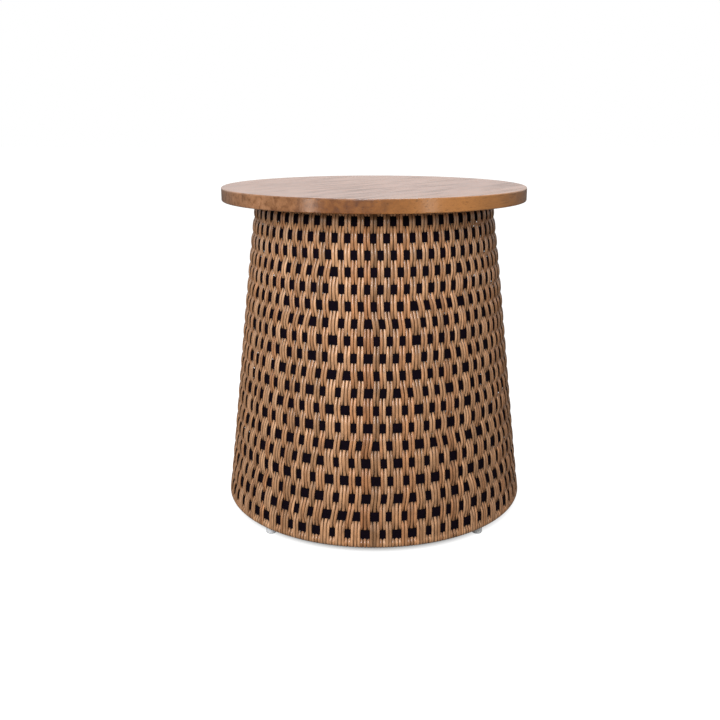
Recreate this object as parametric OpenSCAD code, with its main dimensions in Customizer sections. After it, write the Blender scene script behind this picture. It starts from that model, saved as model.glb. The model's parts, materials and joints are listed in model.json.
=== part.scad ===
// Round side table: a wooden top on a flared drum of reeds woven over black bands.
// Units are millimetres. The origin is on the floor under the table's centre, and +Z is up.

/* [Tabletop] */
// Height from the floor to the tabletop's upper face
table_h = 609.6; // [540:0.1:700]
// Diameter of the tabletop
top_d = 558.8; // [500:0.1:700]
// Thickness of the tabletop
top_t = 24; // [18:0.5:32]
// Radius of the tabletop's eased edges
top_edge_r = 2; // [0.5:0.5:5]

/* [Outline of the base] */
// Diameter over the reeds if the sides are carried down to the floor
foot_d = 580.5; // [540:0.1:640]
// Diameter over the reeds where the sides meet the tabletop
neck_d = 438.4; // [400:0.1:470]
// How far the sides swell outwards at half height
belly = 0.7; // [0:0.1:6]
// How far the swell moves from the lower half to the upper half
belly_rise = 1.9; // [0:0.1:4]
// Height of the woven rim over the floor
rim_h = 15.1; // [8:0.1:20]

/* [Weave] */
// Number of reed groups round the base
group_count = 130; // [110:10:150]
// Thickness of a reed, measured through the weave
reed_t = 3; // [2.4:0.1:4]
// Gap between neighbouring groups at the neck
group_gap = 0.5; // [0.3:0.1:1.2]
// Height of a black band
band_h = 15.5; // [10:0.5:17]
// Thickness of a black band
band_t = 2; // [1:0.25:3]
// Clearance between a reed and what it passes
weave_gap = 0.2; // [0.1:0.05:0.4]
// Gap between the bottom ring's upper face and the lowest band
first_band_gap = 2.9; // [2:0.1:8]
// Drop from the tabletop to the middle of the highest band
last_band_drop = 17.8; // [14:0.1:22]
// How much wider the bands are spaced at the rim than at the neck
spacing_spread = 4.4; // [0:0.1:5]
// Length of a reed's end that lies flat under the bottom ring
tail_l = 2.5; // [2:0.5:8]
// Gap between the reeds' upper ends and the tabletop
end_gap = 0.5; // [0.3:0.1:2]
// Angle from the front to the nearest reed group
first_group_angle = -0.2; // [-1.3:0.1:1.3]

/* [Frame] */
// Thickness of the bottom ring, whose outer edge is fully rounded
bottom_ring_t = 12; // [11:0.5:17]
// Thickness of the top ring
top_ring_t = 14; // [10:0.5:20]
// Width of both rings beyond the inner side of the posts
ring_margin = 10; // [5:0.5:25]
// Diameter of a post
post_d = 22; // [18:0.5:28]
// Diameter of the middle hoop's rod
hoop_d = 12; // [9:0.5:14]
// Height of the middle hoop
hoop_h = 300; // [150:1:450]
// Clearance between the frame and the weave
frame_gap = 0.3; // [0.2:0.05:0.8]
// Clearance between the foot of a post and the weave
post_gap = 0.8; // [0.5:0.1:4]
// Clearance between the middle hoop and its notches
notch_gap = 0.1; // [0.05:0.05:0.4]

/* [Glides] */
// Diameter of a glide
glide_d = 18.5; // [16:0.5:32]
// Radius of a glide's lower edge
glide_edge_r = 2; // [1:0.5:2.5]
// Gap between a glide and the reeds' ends
glide_gap = 0.8; // [0.3:0.1:2]
// Depth of the recess that hides a glide's screw
recess_depth = 4; // [3:0.25:5]
// Gap between the screw's head and the recess
recess_gap = 1; // [0.5:0.25:1.5]

/* [Screws] */
// Shank diameter of the screws in the rings and posts
screw_d = 4; // [3:0.25:5]
// Head diameter of those screws
screw_head_d = 8; // [6:0.25:9]
// Head height of those screws
screw_head_h = 2.4; // [1.5:0.1:2.8]
// Radial clearance round a screw's shank
screw_gap = 0.1; // [0.05:0.05:0.2]
// Length of screw in the end of a post
post_bite = 25; // [12:1:40]
// Number of screws that hold the tabletop
top_screw_count = 8; // [4:4:12]
// Wood left over the tips of the tabletop's screws
top_skin = 9; // [6:0.5:12]
// Depth that a screw hole goes past its screw's tip
tip_gap = 1; // [0.5:0.25:2]
// Shank diameter of the middle hoop's screws
hoop_screw_d = 2.5; // [2:0.25:3.5]
// Head diameter of the middle hoop's screws
hoop_screw_head_d = 5; // [4.5:0.25:7]
// Head height of the middle hoop's screws
hoop_screw_head_h = 1.6; // [1:0.1:2.4]
// Depth of the flat cut into a post for a hoop screw's head
seat_depth = 1.5; // [1:0.1:3]
// Length of screw past the middle of the hoop's rod
hoop_bite = 1.5; // [0:0.25:2.5]

/* [Hidden] */
$fn = 96;
band_count = 19;
sector_count = 10;
post_count = 4;
first_post_angle = 45;
front_angle = -90;
ring_fn = 240;
sweep_fn = 360;
round_step = 15;
wrap_step = 30;
cut = 1;

reed_color = [0.72, 0.52, 0.36];
band_color = [0.09, 0.08, 0.09];
top_color = [0.62, 0.40, 0.22];
frame_color = [0.80, 0.66, 0.47];
glide_color = [0.88, 0.89, 0.90];
screw_color = [0.70, 0.71, 0.73];

function numbered(name, count) = [for (n = [1 : count]) str(name, n < 10 ? "_0" : "_", n)];

// The outline over the reeds' crests, and the surface in the middle of the bands
base_h = table_h - top_t;
weave_depth = band_t / 2 + weave_gap + reed_t;
function outline_swell(s) = 4 * s * (1 - s) * (belly - belly_rise * (1 - 2 * s));
function outline_r(z) = (foot_d + (neck_d - foot_d) * z / base_h) / 2 + outline_swell(z / base_h);
function middle_r(z) = outline_r(z) - weave_depth;
function frame_r(z) = middle_r(z) - weave_depth - frame_gap;

// The rim, where the reeds bend round the bottom ring's edge
wrap_in = bottom_ring_t / 2 + weave_gap;
wrap_out = wrap_in + reed_t;
rim_z = rim_h + wrap_out;
rim_r = outline_r(rim_z) - wrap_out;
group_angle = 360 / group_count;
group_width = group_angle - group_gap / middle_r(base_h) * 180 / PI;
groups_per_sector = group_count / sector_count;

// The heights of both rings' faces
ring_under_z = rim_z - bottom_ring_t / 2;
ring_upper_z = rim_z + bottom_ring_t / 2;
top_ring_z = base_h - top_ring_t;

// The bands' heights, with a spacing that shrinks evenly from the rim to the neck
first_band_z = ring_upper_z + first_band_gap + band_h / 2;
last_band_z = base_h - last_band_drop;
mean_spacing = (last_band_z - first_band_z) / (band_count - 1);
function band_z(k) = first_band_z + k * mean_spacing
    + spacing_spread * k * (band_count - 1 - k) / (2 * (band_count - 2));

// The posts, the glides and both rings' inner edges
glide_r = min(rim_r - tail_l - glide_gap - glide_d / 2, frame_r(ring_upper_z) - post_gap - post_d / 2);
post_inset = frame_r(ring_upper_z) - glide_r;
post_head_r = frame_r(top_ring_z) - post_inset;
post_lean = atan((glide_r - post_head_r) / (top_ring_z - ring_upper_z));
bottom_ring_in = glide_r - max(post_d, glide_d) / 2 - ring_margin;
top_ring_in = post_head_r - post_d / 2 - ring_margin;
function post_r(z) = glide_r - (z - ring_upper_z) * tan(post_lean);

// The middle hoop and its screws
hoop_r = frame_r(hoop_h) - hoop_d / 2;
hoop_seat_r = post_r(hoop_h) - post_d / 2 + seat_depth;

// The tabletop's screws
top_screw_r = (top_ring_in + frame_r(base_h)) / 2;
top_bite = top_t - top_skin;

// Repeats the children at each post's angle
module at_posts() {
    for (n = [0 : post_count - 1]) rotate(first_post_angle + n * 360 / post_count) children();
}

// Repeats the children at each tabletop screw, halfway between the posts
module at_top_screws() {
    for (n = [0 : top_screw_count - 1])
        rotate(first_post_angle + (n + 0.5) * 360 / top_screw_count)
            translate([top_screw_r, 0, 0]) children();
}

// A pan-headed screw along +Z, with its head under z = 0
module pan_screw(shank_d, head_d, head_h, length) {
    translate([0, 0, -head_h]) cylinder(d = head_d, h = head_h);
    cylinder(d = shank_d, h = length);
}

// A countersunk screw along -Z, with the flat of its head at z = 0
module flat_screw(length) {
    translate([0, 0, -screw_head_h]) cylinder(d1 = screw_d, d2 = screw_head_d, h = screw_head_h);
    translate([0, 0, -length]) cylinder(d = screw_d, h = length);
}

module table_top() {
    eased = [for (a = [0 : round_step : 90]) [sin(a), 1 - cos(a)] * top_edge_r];
    lower = [for (p = eased) [top_d / 2 - top_edge_r + p.x, base_h + p.y]];
    upper = [for (n = [len(eased) - 1 : -1 : 0]) [lower[n].x, table_h - eased[n].y]];
    color(top_color)
        difference() {
            rotate_extrude($fn = ring_fn) polygon(concat([[0, base_h]], lower, upper, [[0, table_h]]));
            at_top_screws()
                translate([0, 0, base_h - cut])
                    cylinder(d = screw_d + 2 * screw_gap, h = cut + top_bite + tip_gap);
        }
}

module top_ring() {
    section = [
        [top_ring_in, top_ring_z],
        [frame_r(top_ring_z), top_ring_z],
        [frame_r(base_h), base_h],
        [top_ring_in, base_h]
    ];
    color(frame_color)
        difference() {
            rotate_extrude($fn = ring_fn) polygon(section);
            at_top_screws()
                translate([0, 0, top_ring_z - cut])
                    cylinder(d = screw_d + 2 * screw_gap, h = top_ring_t + 2 * cut);
            at_posts() translate([post_head_r, 0, 0]) post_screw_hole();
        }
}

// The countersunk hole in the top ring for a post's screw
module post_screw_hole() {
    translate([0, 0, top_ring_z - cut]) cylinder(d = screw_d + 2 * screw_gap, h = top_ring_t + 2 * cut);
    translate([0, 0, base_h - screw_head_h])
        cylinder(d1 = screw_d + 2 * screw_gap, d2 = screw_head_d + 2 * screw_gap, h = screw_head_h);
}

module bottom_ring() {
    color(frame_color)
        difference() {
            rotate_extrude($fn = ring_fn) {
                translate([bottom_ring_in, ring_under_z])
                    square([rim_r - bottom_ring_in, bottom_ring_t]);
                translate([rim_r, rim_z]) circle(d = bottom_ring_t);
            }
            at_posts()
                translate([glide_r, 0, ring_under_z - cut])
                    cylinder(d = screw_d + 2 * screw_gap, h = bottom_ring_t + 2 * cut);
        }
}

module middle_hoop() {
    hole_l = hoop_d / 2 + hoop_bite + tip_gap;
    color(frame_color)
        difference() {
            rotate_extrude($fn = ring_fn) translate([hoop_r, hoop_h]) circle(d = hoop_d);
            at_posts()
                translate([hoop_r - hoop_d / 2 - cut, 0, hoop_h])
                    rotate([0, 90, 0]) cylinder(d = hoop_screw_d + 2 * screw_gap, h = cut + hole_l);
        }
}

// A leaning post between the rings, notched for the hoop and bored for its three screws
module post(n) {
    pilot_d = screw_d + 2 * screw_gap;
    pilot_l = post_bite + tip_gap;
    color(frame_color)
        rotate(first_post_angle + (n - 1) * 360 / post_count)
            difference() {
                intersection() {
                    translate([glide_r, 0, ring_upper_z])
                        rotate([0, -post_lean, 0])
                            translate([0, 0, -post_d]) cylinder(d = post_d, h = table_h);
                    translate([0, -post_d, ring_upper_z])
                        cube([foot_d / 2, 2 * post_d, top_ring_z - ring_upper_z]);
                }
                rotate_extrude($fn = ring_fn) hoop_notch();
                translate([glide_r, 0, ring_upper_z - cut]) cylinder(d = pilot_d, h = cut + pilot_l);
                translate([post_head_r, 0, top_ring_z - pilot_l])
                    cylinder(d = pilot_d, h = pilot_l + cut);
                translate([hoop_seat_r, 0, hoop_h])
                    rotate([0, 90, 0]) cylinder(d = hoop_screw_d + 2 * screw_gap, h = post_d);
                translate([hoop_seat_r - post_d, 0, hoop_h])
                    rotate([0, 90, 0]) cylinder(d = hoop_screw_head_d + 2 * screw_gap, h = post_d);
            }
}

// The notch that a post has for the hoop, rounded at its end and open to the weave
module hoop_notch() {
    notch_d = hoop_d + 2 * notch_gap;
    translate([hoop_r, hoop_h]) {
        circle(d = notch_d);
        translate([0, -notch_d / 2]) square([post_d, notch_d]);
    }
}

// A domed plastic foot under the bottom ring
module glide(n) {
    edge = [
        for (a = [0 : round_step : 90])
            [glide_d / 2 - glide_edge_r * (1 - sin(a)), glide_edge_r * (1 - cos(a))]
    ];
    color(glide_color)
        rotate(first_post_angle + (n - 1) * 360 / post_count)
            translate([glide_r, 0, 0])
                difference() {
                    rotate_extrude()
                        polygon(concat([[0, 0]], edge, [[glide_d / 2, ring_under_z], [0, ring_under_z]]));
                    translate([0, 0, -cut])
                        cylinder(d = screw_head_d + 2 * recess_gap, h = cut + recess_depth);
                    cylinder(d = screw_d + 2 * screw_gap, h = ring_under_z + cut);
                }
}

module top_screws() {
    color(screw_color)
        at_top_screws()
            translate([0, 0, top_ring_z])
                pan_screw(screw_d, screw_head_d, screw_head_h, top_ring_t + top_bite);
}

module post_screws() {
    color(screw_color)
        at_posts() translate([post_head_r, 0, base_h]) flat_screw(top_ring_t + post_bite);
}

module glide_screws() {
    color(screw_color)
        at_posts()
            translate([glide_r, 0, recess_depth])
                pan_screw(screw_d, screw_head_d, screw_head_h, ring_upper_z + post_bite - recess_depth);
}

module hoop_screws() {
    color(screw_color)
        at_posts()
            translate([hoop_seat_r, 0, hoop_h])
                rotate([0, 90, 0])
                    pan_screw(hoop_screw_d, hoop_screw_head_d, hoop_screw_head_h,
                        hoop_r - hoop_seat_r + hoop_bite);
}

// One flat black band, which leans with the outline
module weft_band(n) {
    low = band_z(n - 1) - band_h / 2;
    high = band_z(n - 1) + band_h / 2;
    section = [
        [middle_r(low) - band_t / 2, low],
        [middle_r(low) + band_t / 2, low],
        [middle_r(high) + band_t / 2, high],
        [middle_r(high) - band_t / 2, high]
    ];
    color(band_color) rotate_extrude($fn = ring_fn) polygon(section);
}

// The path of a reed group past the bands, as heights and offsets from the middle surface:
// in front of every other band, behind the rest, and half crossed where it ends under the top
function band_side(k, start) = (k + start) % 2 == 0 ? 1 : -1;
function group_path(start) = concat(
    [
        for (k = [0 : band_count - 1], edge = [-1, 1])
            [band_z(k) + edge * band_h / 2, band_side(k, start) * (weave_depth - reed_t / 2)]
    ],
    [[base_h - end_gap, 0]]
);

// One side of a group's section, where side is 1 for the outer face and -1 for the inner one
function group_face(start, side) = [
    for (p = group_path(start)) [middle_r(p.x) + p.y + side * reed_t / 2, p.x]
];

// The same side where it bends round the bottom ring and ends flat under it, in steps that
// stay outside a circle of this radius about the middle of the ring's edge. A group that comes
// from behind the lowest band has one step more, over the ring's shoulder.
function rim_face(radius, start) = concat(
    [[rim_r - tail_l, rim_z - radius]],
    [
        for (a = [wrap_step / 2 - 90 : wrap_step : wrap_step / 2 + start * wrap_step])
            [rim_r, rim_z] + radius / cos(wrap_step / 2) * [cos(a), sin(a)]
    ]
);

module reed_group(start) {
    outer = concat(rim_face(wrap_out, start), group_face(start, 1));
    inner = concat(rim_face(wrap_in, start), group_face(start, -1));
    rotate(-group_width / 2)
        rotate_extrude(angle = group_width, $fn = sweep_fn)
            polygon(concat(outer, [for (n = [len(inner) - 1 : -1 : 0]) inner[n]]));
}

// A tenth of the reed groups, which go in front of the bands in turn
module reed_sector(n) {
    color(reed_color)
        for (g = [(n - 1) * groups_per_sector : n * groups_per_sector - 1])
            rotate(front_angle + first_group_angle + g * group_angle) reed_group(g % 2);
}

table_top();
top_ring();
bottom_ring();
middle_hoop();
post(1);  // post_01
post(2);  // post_02
post(3);  // post_03
post(4);  // post_04
glide(1);  // glide_01
glide(2);  // glide_02
glide(3);  // glide_03
glide(4);  // glide_04
top_screws();
post_screws();
glide_screws();
hoop_screws();
weft_band(1);  // weft_band_01
weft_band(2);  // weft_band_02
weft_band(3);  // weft_band_03
weft_band(4);  // weft_band_04
weft_band(5);  // weft_band_05
weft_band(6);  // weft_band_06
weft_band(7);  // weft_band_07
weft_band(8);  // weft_band_08
weft_band(9);  // weft_band_09
weft_band(10);  // weft_band_10
weft_band(11);  // weft_band_11
weft_band(12);  // weft_band_12
weft_band(13);  // weft_band_13
weft_band(14);  // weft_band_14
weft_band(15);  // weft_band_15
weft_band(16);  // weft_band_16
weft_band(17);  // weft_band_17
weft_band(18);  // weft_band_18
weft_band(19);  // weft_band_19
reed_sector(1);  // reed_sector_01
reed_sector(2);  // reed_sector_02
reed_sector(3);  // reed_sector_03
reed_sector(4);  // reed_sector_04
reed_sector(5);  // reed_sector_05
reed_sector(6);  // reed_sector_06
reed_sector(7);  // reed_sector_07
reed_sector(8);  // reed_sector_08
reed_sector(9);  // reed_sector_09
reed_sector(10);  // reed_sector_10
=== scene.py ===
# %% [markdown]
# A round side table: a wooden top on a flared drum of reeds that go over and under flat black
# bands. The frame inside, the bands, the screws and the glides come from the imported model. The
# reeds are made here, because each one is round, bends its own way and has its own colour.

# %% Load the frame
import json
import math

import bpy
import numpy as np
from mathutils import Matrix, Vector


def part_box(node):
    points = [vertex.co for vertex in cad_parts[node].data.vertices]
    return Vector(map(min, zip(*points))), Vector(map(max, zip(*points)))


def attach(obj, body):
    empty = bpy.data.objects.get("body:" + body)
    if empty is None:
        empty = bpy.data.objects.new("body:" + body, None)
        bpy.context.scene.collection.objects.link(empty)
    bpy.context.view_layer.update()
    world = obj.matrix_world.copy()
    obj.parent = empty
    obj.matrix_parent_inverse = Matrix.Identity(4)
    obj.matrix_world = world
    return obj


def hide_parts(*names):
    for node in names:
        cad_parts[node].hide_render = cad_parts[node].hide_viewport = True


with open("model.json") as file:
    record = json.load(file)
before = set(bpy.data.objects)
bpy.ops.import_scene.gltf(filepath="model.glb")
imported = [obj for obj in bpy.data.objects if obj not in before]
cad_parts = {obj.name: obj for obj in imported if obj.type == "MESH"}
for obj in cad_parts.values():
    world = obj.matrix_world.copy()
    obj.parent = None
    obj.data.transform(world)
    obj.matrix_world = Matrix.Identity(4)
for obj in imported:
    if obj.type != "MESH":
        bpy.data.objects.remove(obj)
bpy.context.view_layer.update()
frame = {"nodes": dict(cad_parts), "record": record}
nodes = frame["nodes"]
print("pieces in the frame:", len(nodes))

# %% [markdown]
# The photo was taken from slightly above the tabletop with a lens of about 44 mm. A camera could
# be set by eye, but these values were fitted to the table's outline, so that the two pictures can
# be laid over each other. The table stands a little right of the middle, which a small shift of
# the lens gives without turning it. The plain Standard view shows colours as they are written.

# %% Camera
CAMERA_BACK = 1.6507
CAMERA_HEIGHT = 0.7325
CAMERA_DOWN = math.radians(15.5235)
FOCAL_MM = 43.89
SENSOR_MM = 36
FRAME_PX = 720
TABLE_AXIS_PX = 374.08

scene = bpy.context.scene
scene.view_settings.view_transform = "Standard"
camera_data = bpy.data.cameras.new("camera")
camera_data.lens = FOCAL_MM
camera_data.sensor_width = SENSOR_MM
camera_data.shift_x = (FRAME_PX / 2 - TABLE_AXIS_PX) / FRAME_PX
camera = bpy.data.objects.new("camera", camera_data)
camera.location = (0, -CAMERA_BACK, CAMERA_HEIGHT)
camera.rotation_euler = (math.pi / 2 - CAMERA_DOWN, 0, 0)
scene.collection.objects.link(camera)
scene.camera = camera
print("camera at", tuple(camera.location))

# %% [markdown]
# Every finish is a tree of small nodes. They could be wired one by one, but a few short helpers
# make a node, set its options and fill or link its inputs in one line each, so that a material
# stays short enough to read.

# %% Helpers for node trees
def node(tree, kind, inputs=(), **options):
    """A new node with its options set and its inputs filled or linked."""
    made = tree.nodes.new(kind)
    for name, value in options.items():
        setattr(made, name, value)
    for key, value in dict(inputs).items():
        if isinstance(value, bpy.types.NodeSocket):
            tree.links.new(value, made.inputs[key])
        else:
            made.inputs[key].default_value = value
    return made


def maths(tree, operation, *values):
    return node(tree, "ShaderNodeMath", dict(enumerate(values)), operation=operation).outputs[0]


def mapped(tree, value, source, target=(0.0, 1.0), curve="LINEAR"):
    """A value carried from one range to another and held at its ends."""
    made = node(tree, "ShaderNodeMapRange", {
        "Value": value, "From Min": source[0], "From Max": source[1],
        "To Min": target[0], "To Max": target[1]}, interpolation_type=curve)
    return made.outputs["Result"]


def mixed(tree, share, first, second):
    """Two colours mixed, with this share of the second one."""
    inputs = {"Factor": share, 6: first, 7: second}
    return node(tree, "ShaderNodeMix", inputs, data_type="RGBA").outputs[2]


def toned(tree, color, tone):
    """A colour made lighter or darker by a tone about 1."""
    return node(tree, "ShaderNodeVectorMath", {0: color, "Scale": tone}, operation="SCALE").outputs[0]


def ramp(tree, factor, stops):
    made = node(tree, "ShaderNodeValToRGB", {"Fac": factor})
    elements = made.color_ramp.elements
    while len(elements) < len(stops):
        elements.new(0.5)
    for element, (place, color) in zip(elements, stops):
        element.position = place
        element.color = (*color, 1)
    return made.outputs["Color"]


def object_space(tree):
    return node(tree, "ShaderNodeTexCoord").outputs["Object"]


def parts_of(tree, vector):
    return node(tree, "ShaderNodeSeparateXYZ", {0: vector}).outputs


print("helpers:", [helper.__name__ for helper in (node, maths, mapped, mixed, toned, ramp)])

# %% [markdown]
# A material is one shader with a colour, a roughness and a fine bump. A group holds an effect that
# several materials share, so that the effect is written once and its sizes are named inputs.

# %% Helpers for materials and groups
def new_group(name, inputs, outputs, kind="ShaderNodeTree"):
    group = bpy.data.node_groups.new(name, kind)
    for label, (socket, default) in inputs.items():
        made = group.interface.new_socket(label, in_out="INPUT", socket_type=socket)
        if default is not None:
            made.default_value = default
    for label, socket in outputs.items():
        group.interface.new_socket(label, in_out="OUTPUT", socket_type=socket)
    return group, node(group, "NodeGroupInput").outputs, node(group, "NodeGroupOutput").inputs


def place_group(tree, group, inputs):
    return node(tree, "ShaderNodeGroup", inputs, node_tree=group).outputs


def new_material(name):
    made = bpy.data.materials.new(name)
    made.use_nodes = True
    tree = made.node_tree
    tree.nodes.clear()
    shader = node(tree, "ShaderNodeBsdfPrincipled")
    node(tree, "ShaderNodeOutputMaterial", {"Surface": shader.outputs["BSDF"]})
    return made, tree, shader


def finish_with(tree, shader, color, roughness, height, distance, strength):
    bump = node(tree, "ShaderNodeBump", {
        "Height": height, "Distance": distance, "Strength": strength})
    tree.links.new(color, shader.inputs["Base Color"])
    tree.links.new(roughness, shader.inputs["Roughness"])
    tree.links.new(bump.outputs["Normal"], shader.inputs["Normal"])


print("helpers:", [helper.__name__ for helper in (new_group, place_group, new_material, finish_with)])

# %% [markdown]
# The photo has a white floor that runs into a white background. The floor here is a plain sheet
# that still takes the table's shadow. A pure white sheet would lose that shadow, so the sheet is
# greyer, and a light of its own, seen by the camera only, lifts it to white. The lift leaves out a
# disc under the table, a little behind its axis, which would otherwise shine through the weave.
# The world is white to the camera and in reflections, and gives less light than it shows.

# %% Floor and world
WHITE = (1, 1, 1, 1)
FLOOR_SIZE = 40
FLOOR_TONE = 0.26
FLOOR_ROUGHNESS = 0.9
FLOOR_LIFT = 0.97
LIFT_CENTRE = (0, 0.02, 0)
LIFT_EDGE = (0.255, 0.292)
WORLD_LIGHT = 0.26


def seen_directly(tree):
    """1 for the camera, a reflection or a view through something, and 0 for light that is cast."""
    path = node(tree, "ShaderNodeLightPath").outputs
    mirrored = maths(tree, "MAXIMUM", path["Is Glossy Ray"], path["Is Transmission Ray"])
    return maths(tree, "MAXIMUM", path["Is Camera Ray"], mirrored)


def make_floor():
    half = FLOOR_SIZE / 2
    corners = [(-half, -half, 0), (half, -half, 0), (half, half, 0), (-half, half, 0)]
    mesh = bpy.data.meshes.new("floor")
    mesh.from_pydata(corners, [], [(0, 1, 2, 3)])
    floor = bpy.data.objects.new("floor", mesh)
    scene.collection.objects.link(floor)
    material, tree, shader = new_material("floor_white")
    shader.inputs["Base Color"].default_value = (FLOOR_TONE, FLOOR_TONE, FLOOR_TONE, 1)
    shader.inputs["Roughness"].default_value = FLOOR_ROUGHNESS
    shader.inputs["Emission Color"].default_value = WHITE
    reach = node(tree, "ShaderNodeVectorMath", {0: object_space(tree), 1: LIFT_CENTRE},
                 operation="DISTANCE").outputs["Value"]
    clear = mapped(tree, reach, LIFT_EDGE, (0.0, FLOOR_LIFT), "SMOOTHSTEP")
    camera_only = node(tree, "ShaderNodeLightPath").outputs["Is Camera Ray"]
    tree.links.new(maths(tree, "MULTIPLY", camera_only, clear), shader.inputs["Emission Strength"])
    mesh.materials.append(material)


def make_world():
    world = bpy.data.worlds.new("world")
    world.use_nodes = True
    tree = world.node_tree
    tree.nodes.clear()
    strength = mapped(tree, seen_directly(tree), (0.0, 1.0), (WORLD_LIGHT, 1.0))
    background = node(tree, "ShaderNodeBackground", {"Color": WHITE, "Strength": strength})
    node(tree, "ShaderNodeOutputWorld", {"Surface": background.outputs["Background"]})
    scene.world = world


make_floor()
make_world()
print("floor tone", FLOOR_TONE, "world light", WORLD_LIGHT)

# %% [markdown]
# A soft studio of five boxes. The broad one in front stands low, since only the first row of the
# weave lies in the tabletop's shadow. The cooler one above it catches the upper tips of the reeds.
# The strips at the sides show as two soft hazes in the varnish of the tabletop's edge, and the one
# overhead lights its upper face. One large lamp would be simpler but would leave the edge flat.

# %% Lamps
# Each lamp: name, place, the point it faces, width and height in metres, watts, colour.
LAMPS = [
    ("lamp_front", (-0.40, -1.75, 1.15), (0, 0, 0.50), (0.60, 0.45), 25.5, (0.97, 0.99, 1.0)),
    ("lamp_upper", (-0.10, -1.40, 1.52), (0, 0, 0.40), (0.30, 0.30), 13, (0.88, 0.93, 1.0)),
    ("lamp_left", (-1.42, -1.50, 0.56), (0, 0, 0.50), (0.25, 1.00), 6.5, (1.0, 0.94, 0.86)),
    ("lamp_right", (1.35, -1.75, 0.56), (0, 0, 0.50), (0.35, 1.00), 4.5, (1.0, 0.93, 0.84)),
    ("lamp_top", (0, 0.25, 1.50), (0, 0, 0.60), (0.60, 0.60), 10, (1.0, 0.98, 0.97)),
]

for name, place, target, size, power, color in LAMPS:
    lamp_data = bpy.data.lights.new(name, "AREA")
    lamp_data.shape = "RECTANGLE"
    lamp_data.size, lamp_data.size_y = size
    lamp_data.energy = power
    lamp_data.color = color
    lamp = bpy.data.objects.new(name, lamp_data)
    lamp.location = place
    direction = Vector(target) - lamp.location
    lamp.rotation_euler = direction.to_track_quat("-Z", "Y").to_euler()
    scene.collection.objects.link(lamp)
print("lamps:", [lamp[0] for lamp in LAMPS])

# %% [markdown]
# The finishes rest on two effects, each built once as a group. The first is the grain of wood and
# reed: noise drawn out along one direction gives fine fibres, wider tone bands and short dark
# pores. Painted images could show that too, but noise follows every piece without a seam. The
# second is slow blotches of tone, for stain, handling and dust.

# %% Shared effects
NOISE_RANGE = (0.3, 0.7)
PORE_EDGE = (0.60, 0.72)


def noise(tree, vector, detail, distortion=0.0):
    return node(tree, "ShaderNodeTexNoise", {
        "Vector": vector, "Scale": 1.0, "Detail": detail, "Distortion": distortion}).outputs["Fac"]


def scaled_grain(tree, vector, size, stretch=1.0):
    """The vector in units of size, with its X axis drawn out by stretch."""
    shrink = maths(tree, "DIVIDE", 1.0, size)
    along = maths(tree, "DIVIDE", shrink, stretch)
    scale = node(tree, "ShaderNodeCombineXYZ", {"X": along, "Y": shrink, "Z": shrink}).outputs[0]
    return node(tree, "ShaderNodeVectorMath", {0: vector, 1: scale}, operation="MULTIPLY").outputs[0]


def make_grain_group():
    group, given, result = new_group(
        "wood_grain",
        {
            "Vector": ("NodeSocketVector", None),
            "Fibre Size": ("NodeSocketFloat", 0.0008),
            "Band Size": ("NodeSocketFloat", 0.012),
            "Pore Size": ("NodeSocketFloat", 0.002),
            "Stretch": ("NodeSocketFloat", 20.0),
        },
        {"Fibres": "NodeSocketFloat", "Bands": "NodeSocketFloat", "Pores": "NodeSocketFloat"},
    )
    where, stretch = given["Vector"], given["Stretch"]
    fibres = noise(group, scaled_grain(group, where, given["Fibre Size"], stretch), 3.0)
    bands = noise(group, scaled_grain(group, where, given["Band Size"], stretch), 3.0, 0.6)
    spots = noise(group, scaled_grain(group, where, given["Pore Size"], stretch), 1.0)
    pores = mapped(group, spots, PORE_EDGE)
    for label, socket in (("Fibres", fibres), ("Bands", bands), ("Pores", pores)):
        group.links.new(socket, result[label])
    return group


def make_blotch_group():
    group, given, result = new_group(
        "blotches",
        {
            "Vector": ("NodeSocketVector", None),
            "Size": ("NodeSocketFloat", 0.05),
            "Low": ("NodeSocketFloat", 0.85),
            "High": ("NodeSocketFloat", 1.1),
        },
        {"Tone": "NodeSocketFloat"},
    )
    spots = noise(group, scaled_grain(group, given["Vector"], given["Size"]), 2.0)
    tone = mapped(group, spots, NOISE_RANGE, (given["Low"], given["High"]))
    group.links.new(tone, result["Tone"])
    return group


wood_grain = make_grain_group()
blotches = make_blotch_group()


def grain_of(tree, vector, fibre, band, pore, stretch):
    return place_group(tree, wood_grain, {
        "Vector": vector, "Fibre Size": fibre, "Band Size": band, "Pore Size": pore, "Stretch": stretch})


def blotchy(tree, vector, size, low, high):
    return place_group(tree, blotches, {"Vector": vector, "Size": size, "Low": low, "High": high})["Tone"]


print("shared effects:", wood_grain.name, blotches.name)

# %% [markdown]
# The tabletop is glued up from boards, stained amber under a satin varnish. Seen almost edge on,
# its upper face mirrors the white room and looks pale pink, with dark streaks of open grain where
# the varnish is thin. On that face the colour is also painted lighter and more even, a painted
# sheen. The grain runs across the view from lower left to upper right. So the rim shows mottled
# end grain at the left, long streaks in the middle and a paler board at the right. Solid
# coordinates give all this at once, as a saw cut would.

# %% Tabletop material
GRAIN_TURN = math.radians(-50)
BOARD_W = 0.094
BOARD_TONES = (0.88, 1.1)
AMBER = [
    (0.30, (0.094, 0.028, 0.005)), (0.48, (0.144, 0.045, 0.007)), (0.66, (0.196, 0.068, 0.013))]
PALE_BOARD = (0.440, 0.184, 0.054, 1)
PALE_BOARD_SHARE = 0.90
PALE_BOARD_Y = (-0.27, -0.17)
END_GRAIN = [
    (0.32, (0.145, 0.056, 0.020)), (0.48, (0.265, 0.120, 0.052)), (0.64, (0.320, 0.152, 0.072))]
END_GRAIN_Y = (-0.12, 0.0)
# The upper face's painted sheen: a light amber that evens out its grain.
FACE_PAINTED_SHEEN = (0.196, 0.063, 0.018, 1)
FACE_PAINTED_SHEEN_SHARE = 0.75
FACE_SLOPE = 0.9
STREAK_SIZE = 0.008
STREAK_STRETCH = 15.0
STREAK_EDGE = (0.52, 0.59)
STREAK_DEPTH = 0.42
VARNISH = 0.64
VARNISH_LOST = 0.24


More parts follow.
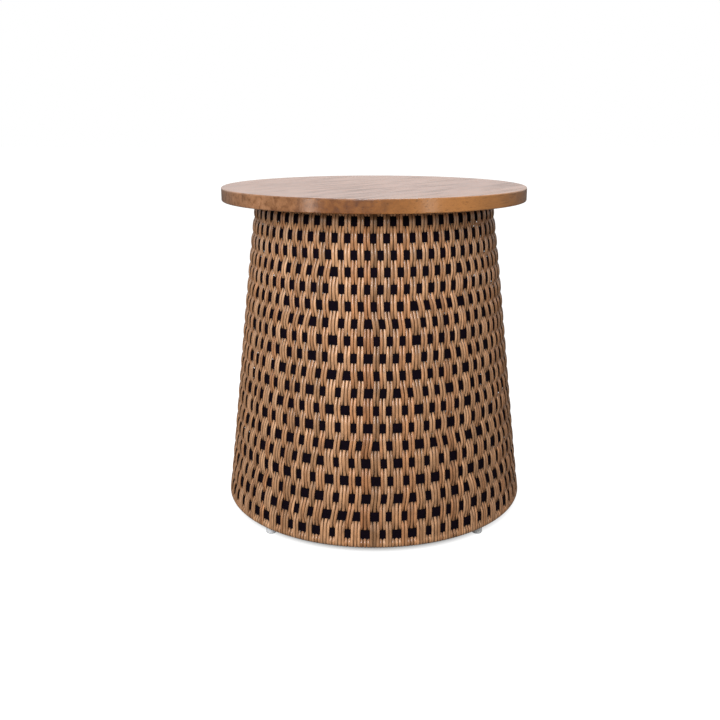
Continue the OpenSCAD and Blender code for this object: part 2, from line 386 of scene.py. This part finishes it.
def top_color(tree, grain, across, lot, face):
    """Amber, paler at the right, end grain at the left, and a painted sheen on the upper face: lighter and
    even.
    """
    color = ramp(tree, grain["Bands"], AMBER)
    color = mixed(tree, mapped(tree, across, PALE_BOARD_Y, (PALE_BOARD_SHARE, 0.0)), color, PALE_BOARD)
    mottled = ramp(tree, grain["Bands"], END_GRAIN)
    color = mixed(tree, mapped(tree, across, END_GRAIN_Y), color, mottled)
    draw = node(tree, "ShaderNodeSeparateColor", {0: lot}).outputs[0]
    color = toned(tree, color, mapped(tree, draw, (0.0, 1.0), BOARD_TONES))
    # Painted sheen: the upper face is mixed towards a light, even amber.
    return mixed(tree, maths(tree, "MULTIPLY", face, FACE_PAINTED_SHEEN_SHARE), color, FACE_PAINTED_SHEEN)


def make_top_wood():
    material, tree, shader = new_material("top_wood")
    space = node(tree, "ShaderNodeMapping", {
        "Vector": object_space(tree), "Rotation": (0, 0, GRAIN_TURN)}).outputs[0]
    across = parts_of(tree, space)["Y"]
    board = maths(tree, "FLOOR", maths(tree, "DIVIDE", across, BOARD_W))
    lot = node(tree, "ShaderNodeTexWhiteNoise", {"W": board}, noise_dimensions="1D").outputs["Color"]
    offset = node(tree, "ShaderNodeVectorMath", {0: space, 1: lot}, operation="ADD").outputs[0]
    grain = grain_of(tree, offset, fibre=0.0011, band=0.011, pore=0.0028, stretch=14.0)
    normal = node(tree, "ShaderNodeNewGeometry").outputs["True Normal"]
    face = maths(tree, "GREATER_THAN", parts_of(tree, normal)["Z"], FACE_SLOPE)
    streaks = noise(tree, scaled_grain(tree, offset, STREAK_SIZE, STREAK_STRETCH), 4.0, 0.3)
    open_grain = maths(tree, "MULTIPLY", face, mapped(tree, streaks, STREAK_EDGE))
    color = top_color(tree, grain, across, lot, face)
    for tone in (
        blotchy(tree, space, size=0.035, low=0.92, high=1.07),
        mapped(tree, grain["Fibres"], NOISE_RANGE, (0.86, 1.08)),
        maths(tree, "MULTIPLY_ADD", grain["Pores"], -0.30, 1.0),
        maths(tree, "MULTIPLY_ADD", open_grain, -STREAK_DEPTH, 1.0),
    ):
        color = toned(tree, color, tone)
    rough = maths(tree, "MULTIPLY_ADD", grain["Fibres"], 0.16, 0.36)
    height = maths(tree, "SUBTRACT", maths(tree, "MULTIPLY", grain["Fibres"], 0.3), grain["Pores"])
    finish_with(tree, shader, color, rough, height, distance=0.0002, strength=0.7)
    varnish = maths(tree, "MULTIPLY_ADD", open_grain, -VARNISH_LOST, VARNISH)
    tree.links.new(varnish, shader.inputs["Coat Weight"])
    shader.inputs["Coat Roughness"].default_value = 0.20
    shader.inputs["Specular IOR Level"].default_value = 0.18
    return material


top_wood = make_top_wood()
print("tabletop grain turned", round(math.degrees(-GRAIN_TURN)), "degrees from the front")

# %% [markdown]
# Reeds are peeled rattan with a thin clear finish. Each has its own tone, fine fibres along it and
# slow patches of brown. The fibres have to follow every bend, so they are drawn in the reed's own
# space, an attribute that holds the place across the reed and the distance along it. A reed's
# colour is painted darker, as painted shade, in the groove to its neighbour and where it dives
# behind a band. That second painted shade follows an arch over the whole group, which gives the
# stitches their rounded dark ends, so each reed also carries its place in the group.

# %% Reed material
REED_W = 0.0057
COOL_REED = [
    (0.0, (0.262, 0.131, 0.061)), (0.5, (0.438, 0.228, 0.112)), (1.0, (0.615, 0.350, 0.194))]
WARM_REED = [
    (0.0, (0.290, 0.113, 0.044)), (0.5, (0.465, 0.204, 0.085)), (1.0, (0.620, 0.315, 0.148))]
# Painted shade in the groove between neighbouring reeds: each reed's sides are darkened.
GROOVE_EDGE = (0.28 * REED_W, 0.5 * REED_W)
PAINTED_GROOVE_SHADE = 0.36
# Painted shade where a reed dives behind a band, rounded over its group.
TIP_ARCH = 0.45
TIP_ARCH_POWER = 4.0
TIP_EDGE = (0.02, 0.20)
PAINTED_TIP_SHADE = 0.16


def attribute(tree, name):
    return node(tree, "ShaderNodeAttribute", attribute_name=name, attribute_type="GEOMETRY").outputs


def tip_shade(tree, across):
    """Painted shade where the reed dives behind a band, sooner at the sides of its group."""
    within = maths(tree, "DIVIDE", across, REED_W)
    place = maths(tree, "ADD", attribute(tree, "reed_place")["Fac"], within)
    share = maths(tree, "DIVIDE", place, attribute(tree, "group_half")["Fac"])
    rise = maths(tree, "POWER", maths(tree, "ABSOLUTE", share), TIP_ARCH_POWER)
    arch = maths(tree, "MULTIPLY", rise, TIP_ARCH)
    crest = maths(tree, "SUBTRACT", attribute(tree, "reed_crest")["Fac"], arch)
    return mapped(tree, crest, TIP_EDGE, (PAINTED_TIP_SHADE, 1.0), "SMOOTHSTEP")


def make_reed():
    material, tree, shader = new_material("reed")
    space = attribute(tree, "reed_space")["Vector"]
    tone = attribute(tree, "reed_tone")["Fac"]
    across = parts_of(tree, space)["Z"]
    grain = grain_of(tree, space, fibre=0.0010, band=0.0024, pore=0.0012, stretch=26.0)
    color = mixed(tree, attribute(tree, "reed_warmth")["Fac"],
                  ramp(tree, tone, COOL_REED), ramp(tree, tone, WARM_REED))
    for factor in (
        blotchy(tree, space, size=0.014, low=0.78, high=1.14),
        mapped(tree, grain["Fibres"], NOISE_RANGE, (0.60, 1.20)),
        mapped(tree, grain["Bands"], NOISE_RANGE, (0.74, 1.15)),
        maths(tree, "MULTIPLY_ADD", grain["Pores"], -0.4, 1.0),
        # Painted shade at the ends of the stitches and under the rim.
        tip_shade(tree, across),
        # Painted shade: the reed's sides are darkened towards the groove.
        mapped(tree, maths(tree, "ABSOLUTE", across), GROOVE_EDGE, (1.0, PAINTED_GROOVE_SHADE), "SMOOTHSTEP"),
    ):
        color = toned(tree, color, factor)
    rough = maths(tree, "MULTIPLY_ADD", grain["Fibres"], 0.2, 0.18)
    finish_with(tree, shader, color, rough, grain["Fibres"], distance=0.00012, strength=0.8)
    shader.inputs["Specular IOR Level"].default_value = 0.32
    return material


reed_material = make_reed()
print("reeds", REED_W, "wide, groove tone", PAINTED_GROOVE_SHADE, "tip tone", PAINTED_TIP_SHADE)

# %% [markdown]
# The bands are flat woven tape, dyed black and dull. Up close a band is a fine diagonal weave. Its
# threads could be modelled, but they are a millimetre wide, so two crossed waves give its height
# instead, and its colour is painted darker in the hollows between threads as painted shade. Dust in
# small blotches makes it slightly paler and rougher here and there.

# %% Band material
TAPE_THREAD = 0.0011
TAPE_R = 0.25
TAPE_COLORS = [(0.0, (0.0008, 0.0002, 0.0008)), (1.0, (0.0046, 0.0018, 0.0050))]


def make_band_material():
    material, tree, shader = new_material("black_band")
    where = object_space(tree)
    parts = parts_of(tree, where)
    angle = maths(tree, "ARCTAN2", parts["Y"], parts["X"])
    around = maths(tree, "MULTIPLY", angle, TAPE_R)
    threads = []
    for operation in ("ADD", "SUBTRACT"):
        slant = maths(tree, operation, around, parts["Z"])
        threads.append(maths(tree, "SINE", maths(tree, "MULTIPLY", slant, 2 * math.pi / TAPE_THREAD)))
    height = maths(tree, "MULTIPLY", *threads)
    dust = blotchy(tree, where, size=0.0035, low=0.5, high=1.7)
    # Painted shade: the tape's colour is darker in the hollows between its threads.
    color = toned(tree, ramp(tree, maths(tree, "MULTIPLY_ADD", height, 0.5, 0.5), TAPE_COLORS), dust)
    rough = maths(tree, "MULTIPLY_ADD", dust, 0.2, 0.5)
    finish_with(tree, shader, color, rough, height, distance=0.0002, strength=0.6)
    shader.inputs["Specular IOR Level"].default_value = 0.04
    return material


band_material = make_band_material()
print("band material:", band_material.name, "with threads of", TAPE_THREAD)

# %% [markdown]
# Inside, the rings are sanded plywood and the hoop and posts are rattan poles. They show only from
# below and could be one plain colour, but they take the same grain as the rest, along each piece.
# The posts stand nearly upright, so their grain runs along Z. A ring is cut from a sheet, so its
# grain runs nearly along X.

# %% Materials of the inner frame
UPRIGHT = (0, math.pi / 2, 0)
SHEET_TURN = (0, 0, math.radians(12))


def make_frame_wood(name, dark, light, turn, rough_low):
    material, tree, shader = new_material(name)
    where = object_space(tree)
    space = node(tree, "ShaderNodeMapping", {"Vector": where, "Rotation": turn}).outputs[0]
    grain = grain_of(tree, space, fibre=0.0010, band=0.009, pore=0.0020, stretch=22.0)
    color = ramp(tree, grain["Bands"], [(0.3, dark), (0.7, light)])
    color = toned(tree, color, blotchy(tree, where, size=0.05, low=0.88, high=1.08))
    color = toned(tree, color, maths(tree, "MULTIPLY_ADD", grain["Pores"], -0.3, 1.0))
    rough = maths(tree, "MULTIPLY_ADD", grain["Fibres"], 0.2, rough_low)
    finish_with(tree, shader, color, rough, grain["Fibres"], distance=0.0002, strength=0.6)
    return material


ring_wood = make_frame_wood("ring_wood", (0.42, 0.28, 0.14), (0.62, 0.45, 0.27), SHEET_TURN, 0.5)
pole_wood = make_frame_wood("pole", (0.36, 0.21, 0.09), (0.58, 0.38, 0.19), UPRIGHT, 0.38)
print("frame materials:", ring_wood.name, pole_wood.name)

# %% [markdown]
# The glides are milky nylon: pale, a little see-through and scuffed on the lowest few millimetres,
# where they slide. The screws are zinc plated, with a fine uneven grain. Both are small, so a
# plain colour with blotches and a fine bump says enough.

# %% Glide and screw materials
GLIDE_PALE = (0.76, 0.77, 0.79, 1)
GLIDE_WORN_TO = 0.003
STEEL = (0.60, 0.61, 0.63, 1)


def plain_color(tree, color):
    made = node(tree, "ShaderNodeRGB")
    made.outputs[0].default_value = color
    return made.outputs[0]


def make_glide_plastic():
    material, tree, shader = new_material("glide_plastic")
    where = object_space(tree)
    color = toned(tree, plain_color(tree, GLIDE_PALE), blotchy(tree, where, size=0.008, low=0.92, high=1.04))
    worn = mapped(tree, parts_of(tree, where)["Z"], (0.0, GLIDE_WORN_TO), (0.8, 1.0))
    fine = noise(tree, scaled_grain(tree, where, 0.0006), 2.0)
    rough = maths(tree, "MULTIPLY_ADD", fine, 0.2, 0.28)
    finish_with(tree, shader, toned(tree, color, worn), rough, fine, distance=0.00005, strength=0.5)
    shader.inputs["Subsurface Weight"].default_value = 0.3
    shader.inputs["Subsurface Radius"].default_value = (0.004, 0.004, 0.005)
    return material


def make_screw_steel():
    material, tree, shader = new_material("screw_steel")
    where = object_space(tree)
    color = toned(tree, plain_color(tree, STEEL), blotchy(tree, where, size=0.004, low=0.85, high=1.05))
    fine = noise(tree, scaled_grain(tree, where, 0.0004), 3.0)
    rough = maths(tree, "MULTIPLY_ADD", fine, 0.25, 0.22)
    finish_with(tree, shader, color, rough, fine, distance=0.00003, strength=0.5)
    shader.inputs["Metallic"].default_value = 1.0
    return material


glide_plastic = make_glide_plastic()
screw_steel = make_screw_steel()
print("small materials:", glide_plastic.name, screw_steel.name)

# %% [markdown]
# The frame's own pieces keep their shape and only need these finishes. The record says which
# finish each node has, so one loop dresses them all.

# %% Dress the frame's pieces
FINISHES = {
    "top_wood": top_wood,
    "black_band": band_material,
    "ring_wood": ring_wood,
    "pole": pole_wood,
    "glide_plastic": glide_plastic,
    "screw_steel": screw_steel,
}
slots = {part["node"]: part["material_slot"] for part in frame["record"]["subparts"]}
for name, slot in slots.items():
    if slot in FINISHES:
        for holder in nodes[name].material_slots:
            holder.material = FINISHES[slot]
print("dressed", sum(slot in FINISHES for slot in slots.values()), "frame pieces")

# %% [markdown]
# The weave's rule comes from the frame, so that the reeds here lie where its strips lie. Each band
# is a slanted ring: the middle of its wall at its lower and upper edge gives points on the surface
# that the reeds wave about, and one smooth cubic goes through them all. The bottom ring gives the
# edge that the reeds bend round.

# %% Measure the bands and the rim
BAND_COUNT = sum(name.startswith("weft_band") for name in nodes)
SAME_HEIGHT = 1e-5


def ring_points(name):
    """Height and mid-wall radius of a band at its lower and its upper edge, in metres."""
    co = np.array([v.co for v in nodes[name].data.vertices])
    radius = np.hypot(co[:, 0], co[:, 1])
    found = []
    for height in (co[:, 2].min(), co[:, 2].max()):
        edge = radius[np.abs(co[:, 2] - height) < SAME_HEIGHT]
        found.append((height, (edge.min() + edge.max()) / 2))
    return found


band_rings = np.array([ring_points(f"weft_band_{n:02d}") for n in range(1, BAND_COUNT + 1)])
band_heights = band_rings[:, :, 0].mean(axis=1)
surface = np.polynomial.Polynomial.fit(band_rings[:, :, 0].ravel(), band_rings[:, :, 1].ravel(), 3)
ring_low, ring_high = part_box("bottom_ring")
edge_r = (ring_high.z - ring_low.z) / 2
rim_z = ring_low.z + edge_r
rim_r = ring_high.x - edge_r
top_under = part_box("table_top")[0].z
print("bands", BAND_COUNT, "rim at", round(rim_r, 4), round(rim_z, 4), "top at", round(top_under, 4))

# %% [markdown]
# Rows are counted from the lowest band, number 0. A reed's shape repeats with the rows, so it is
# worked out at steps of a tenth of a row and not at steps of height. The steps run from just under
# the tabletop down to where a reed leaves the wall to bend round the rim. Groups that come down in
# front of the lowest band leave it low, and groups from behind it leave it higher, over the rim's
# shoulder.

# %% Rows down the wall
REED_T = 0.0029
WEAVE_GAP = 0.0002
FRONT_WRAP = math.radians(12)
BACK_WRAP = math.radians(50)
TOP_GAP = 0.0008
TOP_SPACING = 0.021
STEPS_PER_ROW = 10


def smooth(t):
    t = np.clip(t, 0, 1)
    return t * t * (3 - 2 * t)


def height_of(row):
    """Height at a row number, which may be a fraction and may run past the first or last band."""
    counted = np.arange(BAND_COUNT)
    low = band_heights[0] + row * (band_heights[1] - band_heights[0])
    high = band_heights[-1] + (row - counted[-1]) * TOP_SPACING
    inside = np.interp(row, counted, band_heights)
    return np.where(row < 0, low, np.where(row > counted[-1], high, inside))


wrap_r = edge_r + WEAVE_GAP + REED_T / 2
arc_top_z = rim_z + wrap_r * math.sin(FRONT_WRAP)
shoulder_z = rim_z + wrap_r * math.sin(BACK_WRAP)
row_top = (BAND_COUNT - 1) + (top_under - TOP_GAP - band_heights[-1]) / TOP_SPACING
row_low = (arc_top_z - band_heights[0]) / (band_heights[1] - band_heights[0])
row_count = int(round((row_top - row_low) * STEPS_PER_ROW))
rows = np.linspace(row_top, row_low, row_count + 1)
heights = height_of(rows)
radii = surface(heights)
print("rows from", round(float(row_top), 2), "to", round(float(row_low), 2), "in", row_count, "steps")

# %% [markdown]
# Every reed belongs to one of 130 upright groups. A group passes in front of one band and behind
# the next, and its neighbours do the opposite. A group has two reeds at the neck. The drum grows
# wider downwards. Wider reeds could fill it, but the photo shows reeds of one width, so a third
# reed is let in behind a band wherever there is room for one, spread evenly by the golden ratio.
# All reeds lie side by side where they cross, so at each height the groups share the circle in
# proportion to their reeds.

# %% Lay out the reed groups
GROUPS = 130
SECTORS = 10
FIRST_GROUP_ANGLE = math.radians(-90.2)
REED_PITCH = 0.00535
GOLDEN = 0.6180339887
GOLDEN_START = 0.37
NO_THIRD = -9
WHOLE_THIRD = BAND_COUNT + 2
THIRD_EASE = 1.2

groups = np.arange(GROUPS)
reeds_in_ring = 2 * math.pi * radii / REED_PITCH
third_share = np.clip(reeds_in_ring / GROUPS - 2, 0, 1)
band_share = np.interp(-np.arange(BAND_COUNT), -rows, third_share)
rank = (groups * GOLDEN + GOLDEN_START) % 1.0


def third_start(group):
    """The band behind which a group's third reed begins, or the mark for all of it or none."""
    if band_share[-1] > rank[group]:
        return WHOLE_THIRD
    for band in range(BAND_COUNT - 1, -1, -1):
        if (band + group) % 2 == 1 and band_share[band] > rank[group]:
            return band
    return NO_THIRD


start_rows = np.array([third_start(group) for group in groups])
third_weight = smooth((start_rows[:, None] + THIRD_EASE / 2 - rows[None, :]) / THIRD_EASE)
group_reeds = 2 + third_weight
edges = np.cumsum(group_reeds, axis=0)
middles = (edges - group_reeds / 2) / edges[-1] * 2 * math.pi
even = (groups[:, None] + 0.5) / GROUPS * 2 * math.pi
middles += (even - middles).mean(axis=0)
group_angle = FIRST_GROUP_ANGLE + middles - math.pi / GROUPS
reed_pitch = 2 * math.pi * radii / edges[-1]
print("reeds at the neck", round(edges[-1][0]), "and at the rim", round(edges[-1][-1]))

# %% [markdown]
# A reed's way past the bands is a wave that is flattened at its crests, so that it lies against
# the band and then crosses quickly. A plain wave would leave the band at once and let light
# through. A group is widest where it crosses between two bands, a little narrower in front of one
# and narrowest behind one. Small seeded errors in place and depth keep the rows from looking
# machined, and neighbouring groups share part of them, because they press on each other.

# %% Bend the reeds over and under
random = np.random.default_rng(11)
SWING = 0.00265
THIRD_HARMONIC = 0.09
DEPTH_ERROR = 0.04
WANDER = 0.0006
WIDE_CROSSING = 1.11
WIDE_FRONT = 1.07
TIGHT_BACK = 1.03
BACK_UNTIL = -0.95
BACK_EASE = 0.60
FRONT_FROM = 0.1
FRONT_EASE = 0.8
LEAVE_BAND = 0.0072
SHOULDER_GAP = 0.0008


def row_noise(amount, count, neighbours=0):
    """A smooth random curve down the rows for each of count things, shared with its neighbours."""
    knots = random.uniform(-amount, amount, (count, BAND_COUNT + 4))
    shared = sum(np.roll(knots, shift, axis=0) for shift in range(-neighbours, neighbours + 1))
    shared /= math.sqrt(2 * neighbours + 1)
    whole = np.floor(rows).astype(int)
    step = smooth(rows - whole)
    return shared[:, whole + 2] * (1 - step) + shared[:, whole + 3] * step


phase = math.pi * (rows[None, :] + groups[:, None])
wave = np.cos(phase)
shape = (wave - THIRD_HARMONIC * np.cos(3 * phase)) / (1 - THIRD_HARMONIC)
waved = shape * SWING * (1 + row_noise(DEPTH_ERROR, GROUPS))
sway = row_noise(WANDER, GROUPS, neighbours=2)
print("weave swings", round(float(waved.min()), 5), "to", round(float(waved.max()), 5))

# %% [markdown]
# Under the lowest band the wave ends, and each group has to meet the rim. A group in front of that
# band stays out and eases onto the rim. A group from behind it turns out over the rim's shoulder.
# Both ways are set at once for all groups, and how far a reed stands out, which the material's
# painted shade needs, is kept beside the depth.

# %% Lead the reeds to the rim
front_last = (groups % 2 == 0)[:, None]
rim_depth = rim_r + wrap_r * math.cos(FRONT_WRAP) - surface(arc_top_z)
shoulder_depth = rim_r + wrap_r * math.cos(BACK_WRAP) - surface(shoulder_z)
held = SWING + (rim_depth - SWING) * smooth(rows / row_low)
drop = smooth((band_heights[0] - heights) / (band_heights[0] - shoulder_z))
turned = waved + (shoulder_depth - waved) * drop
depth = np.where(rows < 0, np.where(front_last, held, turned), waved)
leave_z = band_heights[0] - LEAVE_BAND
below = smooth((leave_z - heights) / (leave_z - arc_top_z))
facing = np.where(rows < 0, np.where(front_last, 1.0, wave + (1 - wave) * below), wave)
squeeze = TIGHT_BACK + (WIDE_CROSSING - TIGHT_BACK) * smooth((facing - BACK_UNTIL) / BACK_EASE)
squeeze -= (WIDE_CROSSING - WIDE_FRONT) * smooth((facing - FRONT_FROM) / FRONT_EASE)
shoulder_row = int(np.argmax(heights < shoulder_z + SHOULDER_GAP))
print("depth at the rim", round(float(rim_depth), 5), "and at its shoulder", round(float(shoulder_depth), 5))

# %% [markdown]
# No two reeds have the same colour, and a group's reeds are often cut from one cane. So a tone and
# a warmth are drawn for each group, and a smaller difference for each reed in it. Each reed also
# bows a little and lies a little higher or lower than its neighbour.

# %% Draw each reed's own tone and errors
MOST_REEDS = 3
TONE_MIDDLE = 0.5
GROUP_TONE_SPREAD = 0.10
REED_TONE_SPREAD = 0.13
WARMTH_SHAPE = (1.6, 3.2)
REED_WARMTH_SPREAD = 0.12
BOW = 0.00018
LOWEST = -0.00012
HIGHEST = 0.00008

group_tones = random.normal(TONE_MIDDLE, GROUP_TONE_SPREAD, GROUPS)
group_warmth = random.beta(*WARMTH_SHAPE, GROUPS)
reed_tones = random.normal(0.0, REED_TONE_SPREAD, (GROUPS, MOST_REEDS))
reed_warmth = random.normal(0.0, REED_WARMTH_SPREAD, (GROUPS, MOST_REEDS))
reed_bow = row_noise(BOW, GROUPS * MOST_REEDS).reshape(GROUPS, MOST_REEDS, -1)
reed_lift = random.uniform(LOWEST, HIGHEST, (GROUPS, MOST_REEDS))
print("group tones from", round(float(group_tones.min()), 2), "to", round(float(group_tones.max()), 2))

# %% [markdown]
# Each reed is first a thin guide line: down the wall, round the rim and a short way under the
# ring. A mesh could be built round each line here, but a line with values on its points is easier
# to check, and one node tree can then give all of them the same section.

# %% Guide line of one reed
ARC_STEPS = 7
TAIL = 0.0023
TAIL_STEPS = 2
# Crests round the rim fall towards its underside, so that the material paints shade there.
RIM_ANGLES = (-1.1, -0.7, -0.4)
RIM_SHADE_CRESTS = (0.02, 0.2, 1.0)
SIDE_STEP = 7919
SIDE_CYCLE = 13
SIDE_RIGHT = 7


def third_side(group):
    """The side of its group on which a third reed lies, a fixed mix of left and right."""
    return 1 if (group * SIDE_STEP) % SIDE_CYCLE < SIDE_RIGHT else -1


def reed_line(group, place, span, bow, lift):
    """A reed's points from the top down, and how far each stands out, from 0 to 1, lowered round the rim's
    underside for painted shade.
    """
    across = (place * reed_pitch * squeeze[group] + sway[group] + bow)[span]
    r = radii[span] + depth[group][span] + lift
    angle = group_angle[group][span] + across / r
    wall = np.stack([r * np.cos(angle), r * np.sin(angle), heights[span]], axis=1)
    out = np.array([math.cos(angle[-1]), math.sin(angle[-1]), 0])
    if front_last[group, 0]:
        bends = np.linspace(FRONT_WRAP, -math.pi / 2, ARC_STEPS + 1)[1:]
    else:
        bends = np.linspace(BACK_WRAP, -math.pi / 2, ARC_STEPS + 3)
    rim = [out * (rim_r + wrap_r * math.cos(b)) + (0, 0, rim_z + wrap_r * math.sin(b)) for b in bends]
    tail = [rim[-1] - out * TAIL * (n + 1) / TAIL_STEPS for n in range(TAIL_STEPS)]
    # Painted shade: the crest comes from the wave on the wall and falls round the rim's underside and tail.
    crest = np.concatenate([
        0.5 + 0.5 * facing[group][span],
        np.interp(bends, RIM_ANGLES, RIM_SHADE_CRESTS),
        np.full(TAIL_STEPS, RIM_SHADE_CRESTS[0])])
    return np.vstack([wall, rim, tail]), crest


print("a reed bends round the rim in", ARC_STEPS, "or", ARC_STEPS + 3, "points")

# %% [markdown]
# A sector's guide lines go into one mesh of edges, with the values that the tree and the material
# read stored on its points. One mesh for each sector keeps to the ten pieces of the frame, which
# these reeds replace one for one.

# %% Guide lines of a sector
PER_SECTOR = GROUPS // SECTORS
GUIDE_VALUES = (
    "reed_tone", "reed_warmth", "reed_crest", "along", "reed_number", "reed_place", "group_half")


def carried_on(numbers, span, count):
    """Values down the wall, with the last one repeated round the rim up to count."""
    return np.append(numbers[span], [numbers[-1]] * (count - len(numbers[span])))


def reed_guides(sector):
    """Points, edges and the values on each point for one sector's guide lines."""
    points, lines = [], []
    values = {name: [] for name in GUIDE_VALUES}
    for group in range(sector * PER_SECTOR, (sector + 1) * PER_SECTOR):
        side = third_side(group)
        weight = third_weight[group]
        places = [-side * (0.5 + 0.5 * weight), side * (0.5 - 0.5 * weight)]
        if start_rows[group] != NO_THIRD:
            places.append(side * (0.5 + 0.5 * weight))
        for index, place in enumerate(places):
            first = int(np.argmax(rows <= start_rows[group])) if index == 2 else 0
            span = slice(first, None if front_last[group, 0] else shoulder_row)
            path, crest = reed_line(
                group, place, span, reed_bow[group, index], reed_lift[group, index])
            count = len(path)
            steps = np.linalg.norm(np.diff(path, axis=0), axis=1)
            tone = np.clip(group_tones[group] + reed_tones[group, index], 0, 1)
            warmth = np.clip(group_warmth[group] + reed_warmth[group, index], 0, 1)
            lines.extend((len(points) + n, len(points) + n + 1) for n in range(count - 1))
            points.extend(tuple(point) for point in path)
            for name, numbers in zip(GUIDE_VALUES, (
                [tone] * count, [warmth] * count, crest, np.concatenate([[0], np.cumsum(steps)]),
                [group * MOST_REEDS + index] * count,
                carried_on(place, span, count), carried_on(1 + 0.5 * weight, span, count),
            )):
                values[name].extend(numbers)
    return points, lines, values


def guide_object(sector):
    points, lines, values = reed_guides(sector)
    mesh = bpy.data.meshes.new(f"guide_{sector + 1:02d}")
    mesh.from_pydata(points, lines, [])
    for name, numbers in values.items():
        layer = mesh.attributes.new(name, "FLOAT", "POINT")
        layer.data.foreach_set("value", np.array(numbers, np.float32))
    guide = bpy.data.objects.new(mesh.name, mesh)
    scene.collection.objects.link(guide)
    return guide


print("values on the guide lines:", GUIDE_VALUES)

# %% [markdown]
# A real reed is a split or whole shoot, an oval rod a few millimetres across. Geometry Nodes sweep
# an oval section along every guide. The section has to stay square to the wall, so the curve's
# normal is set to point away from the axis. The place on the section and along the reed is stored
# as the reed's own space, moved on for each reed so that no two show the same fibres.

# %% Reed sweep tree
REED_SIDES = 8
FIBRE_SHIFT = 0.37


def make_reed_tree():
    tree, given, result = new_group(
        "reed_sweep",
        {
            "Geometry": ("NodeSocketGeometry", None),
            "Width": ("NodeSocketFloat", REED_W),
            "Thickness": ("NodeSocketFloat", REED_T),
            "Sides": ("NodeSocketInt", REED_SIDES),
            "Material": ("NodeSocketMaterial", None),
        },
        {"Geometry": "NodeSocketGeometry"},
        "GeometryNodeTree",
    )
    curves = node(tree, "GeometryNodeMeshToCurve", {"Mesh": given["Geometry"]}).outputs["Curve"]
    place = node(tree, "GeometryNodeInputPosition").outputs[0]
    outwards = node(tree, "ShaderNodeVectorMath", {0: place, 1: (1, 1, 0)}, operation="MULTIPLY").outputs[0]
    turned = node(tree, "GeometryNodeSetCurveNormal", {"Curve": curves, "Normal": outwards}, mode="FREE")
    circle = node(tree, "GeometryNodeCurvePrimitiveCircle", {"Resolution": given["Sides"], "Radius": 0.5})
    size = node(tree, "ShaderNodeCombineXYZ", {"X": given["Thickness"], "Y": given["Width"], "Z": 1.0})
    section = node(tree, "GeometryNodeTransform", {
        "Geometry": circle.outputs["Curve"], "Scale": size.outputs[0]}).outputs["Geometry"]
    kept = node(tree, "GeometryNodeCaptureAttribute", {"Geometry": section})
    kept.capture_items.new("VECTOR", "Section")
    tree.links.new(node(tree, "GeometryNodeInputPosition").outputs[0], kept.inputs["Section"])
    sweep = node(tree, "GeometryNodeCurveToMesh", {
        "Curve": turned.outputs["Curve"], "Profile Curve": kept.outputs["Geometry"], "Fill Caps": True})
    along, number = (
        node(tree, "GeometryNodeInputNamedAttribute", {"Name": name}, data_type="FLOAT").outputs[0]
        for name in ("along", "reed_number"))
    parts = parts_of(tree, kept.outputs["Section"])
    apart = maths(tree, "MULTIPLY", number, FIBRE_SHIFT)
    space = node(tree, "ShaderNodeCombineXYZ", {
        "X": along, "Y": maths(tree, "ADD", parts["X"], apart), "Z": parts["Y"]})
    stored = node(tree, "GeometryNodeStoreNamedAttribute", {
        "Geometry": sweep.outputs["Mesh"], "Name": "reed_space", "Value": space.outputs[0]},
        data_type="FLOAT_VECTOR", domain="POINT")
    smoothed = node(tree, "GeometryNodeSetShadeSmooth", {"Geometry": stored.outputs["Geometry"]})
    whole = node(tree, "GeometryNodeRealizeInstances", {"Geometry": smoothed.outputs["Geometry"]})
    painted = node(tree, "GeometryNodeSetMaterial", {
        "Geometry": whole.outputs["Geometry"], "Material": given["Material"]})
    tree.links.new(painted.outputs["Geometry"], result["Geometry"])
    return tree


reed_tree = make_reed_tree()
print("sweep tree:", reed_tree.name, "with", len(reed_tree.nodes), "nodes")

# %% [markdown]
# Each sector's guides run through the tree once, and the result is kept as a plain mesh, so that
# nothing is left to work out later. It takes the place of the frame's sector and its finish.

# %% Make the reeds
def run_tree(obj, tree, values):
    """Runs a node tree on obj with these inputs and returns the plain mesh that it makes."""
    modifier = obj.modifiers.new(tree.name, "NODES")
    modifier.node_group = tree
    for item in tree.interface.items_tree:
        if item.item_type == "SOCKET" and item.in_out == "INPUT" and item.name in values:
            modifier[item.identifier] = values[item.name]
    graph = bpy.context.evaluated_depsgraph_get()
    mesh = bpy.data.meshes.new_from_object(obj.evaluated_get(graph), depsgraph=graph)
    obj.modifiers.remove(modifier)
    return mesh


def make_reeds(sector):
    guide = guide_object(sector)
    mesh = run_tree(guide, reed_tree, {
        "Width": REED_W, "Thickness": REED_T, "Sides": REED_SIDES, "Material": reed_material})
    bpy.data.objects.remove(guide)
    name = f"reeds_{sector + 1:02d}"
    mesh.name = name
    piece = bpy.data.objects.new(name, mesh)
    scene.collection.objects.link(piece)
    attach(piece, "root")
    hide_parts(f"reed_sector_{sector + 1:02d}")
    return piece


reed_pieces = [make_reeds(sector) for sector in range(SECTORS)]
triangles = sum(len(p.vertices) - 2 for piece in reed_pieces for p in piece.data.polygons)
print("reeds:", len(reed_pieces), "pieces,", triangles, "triangles")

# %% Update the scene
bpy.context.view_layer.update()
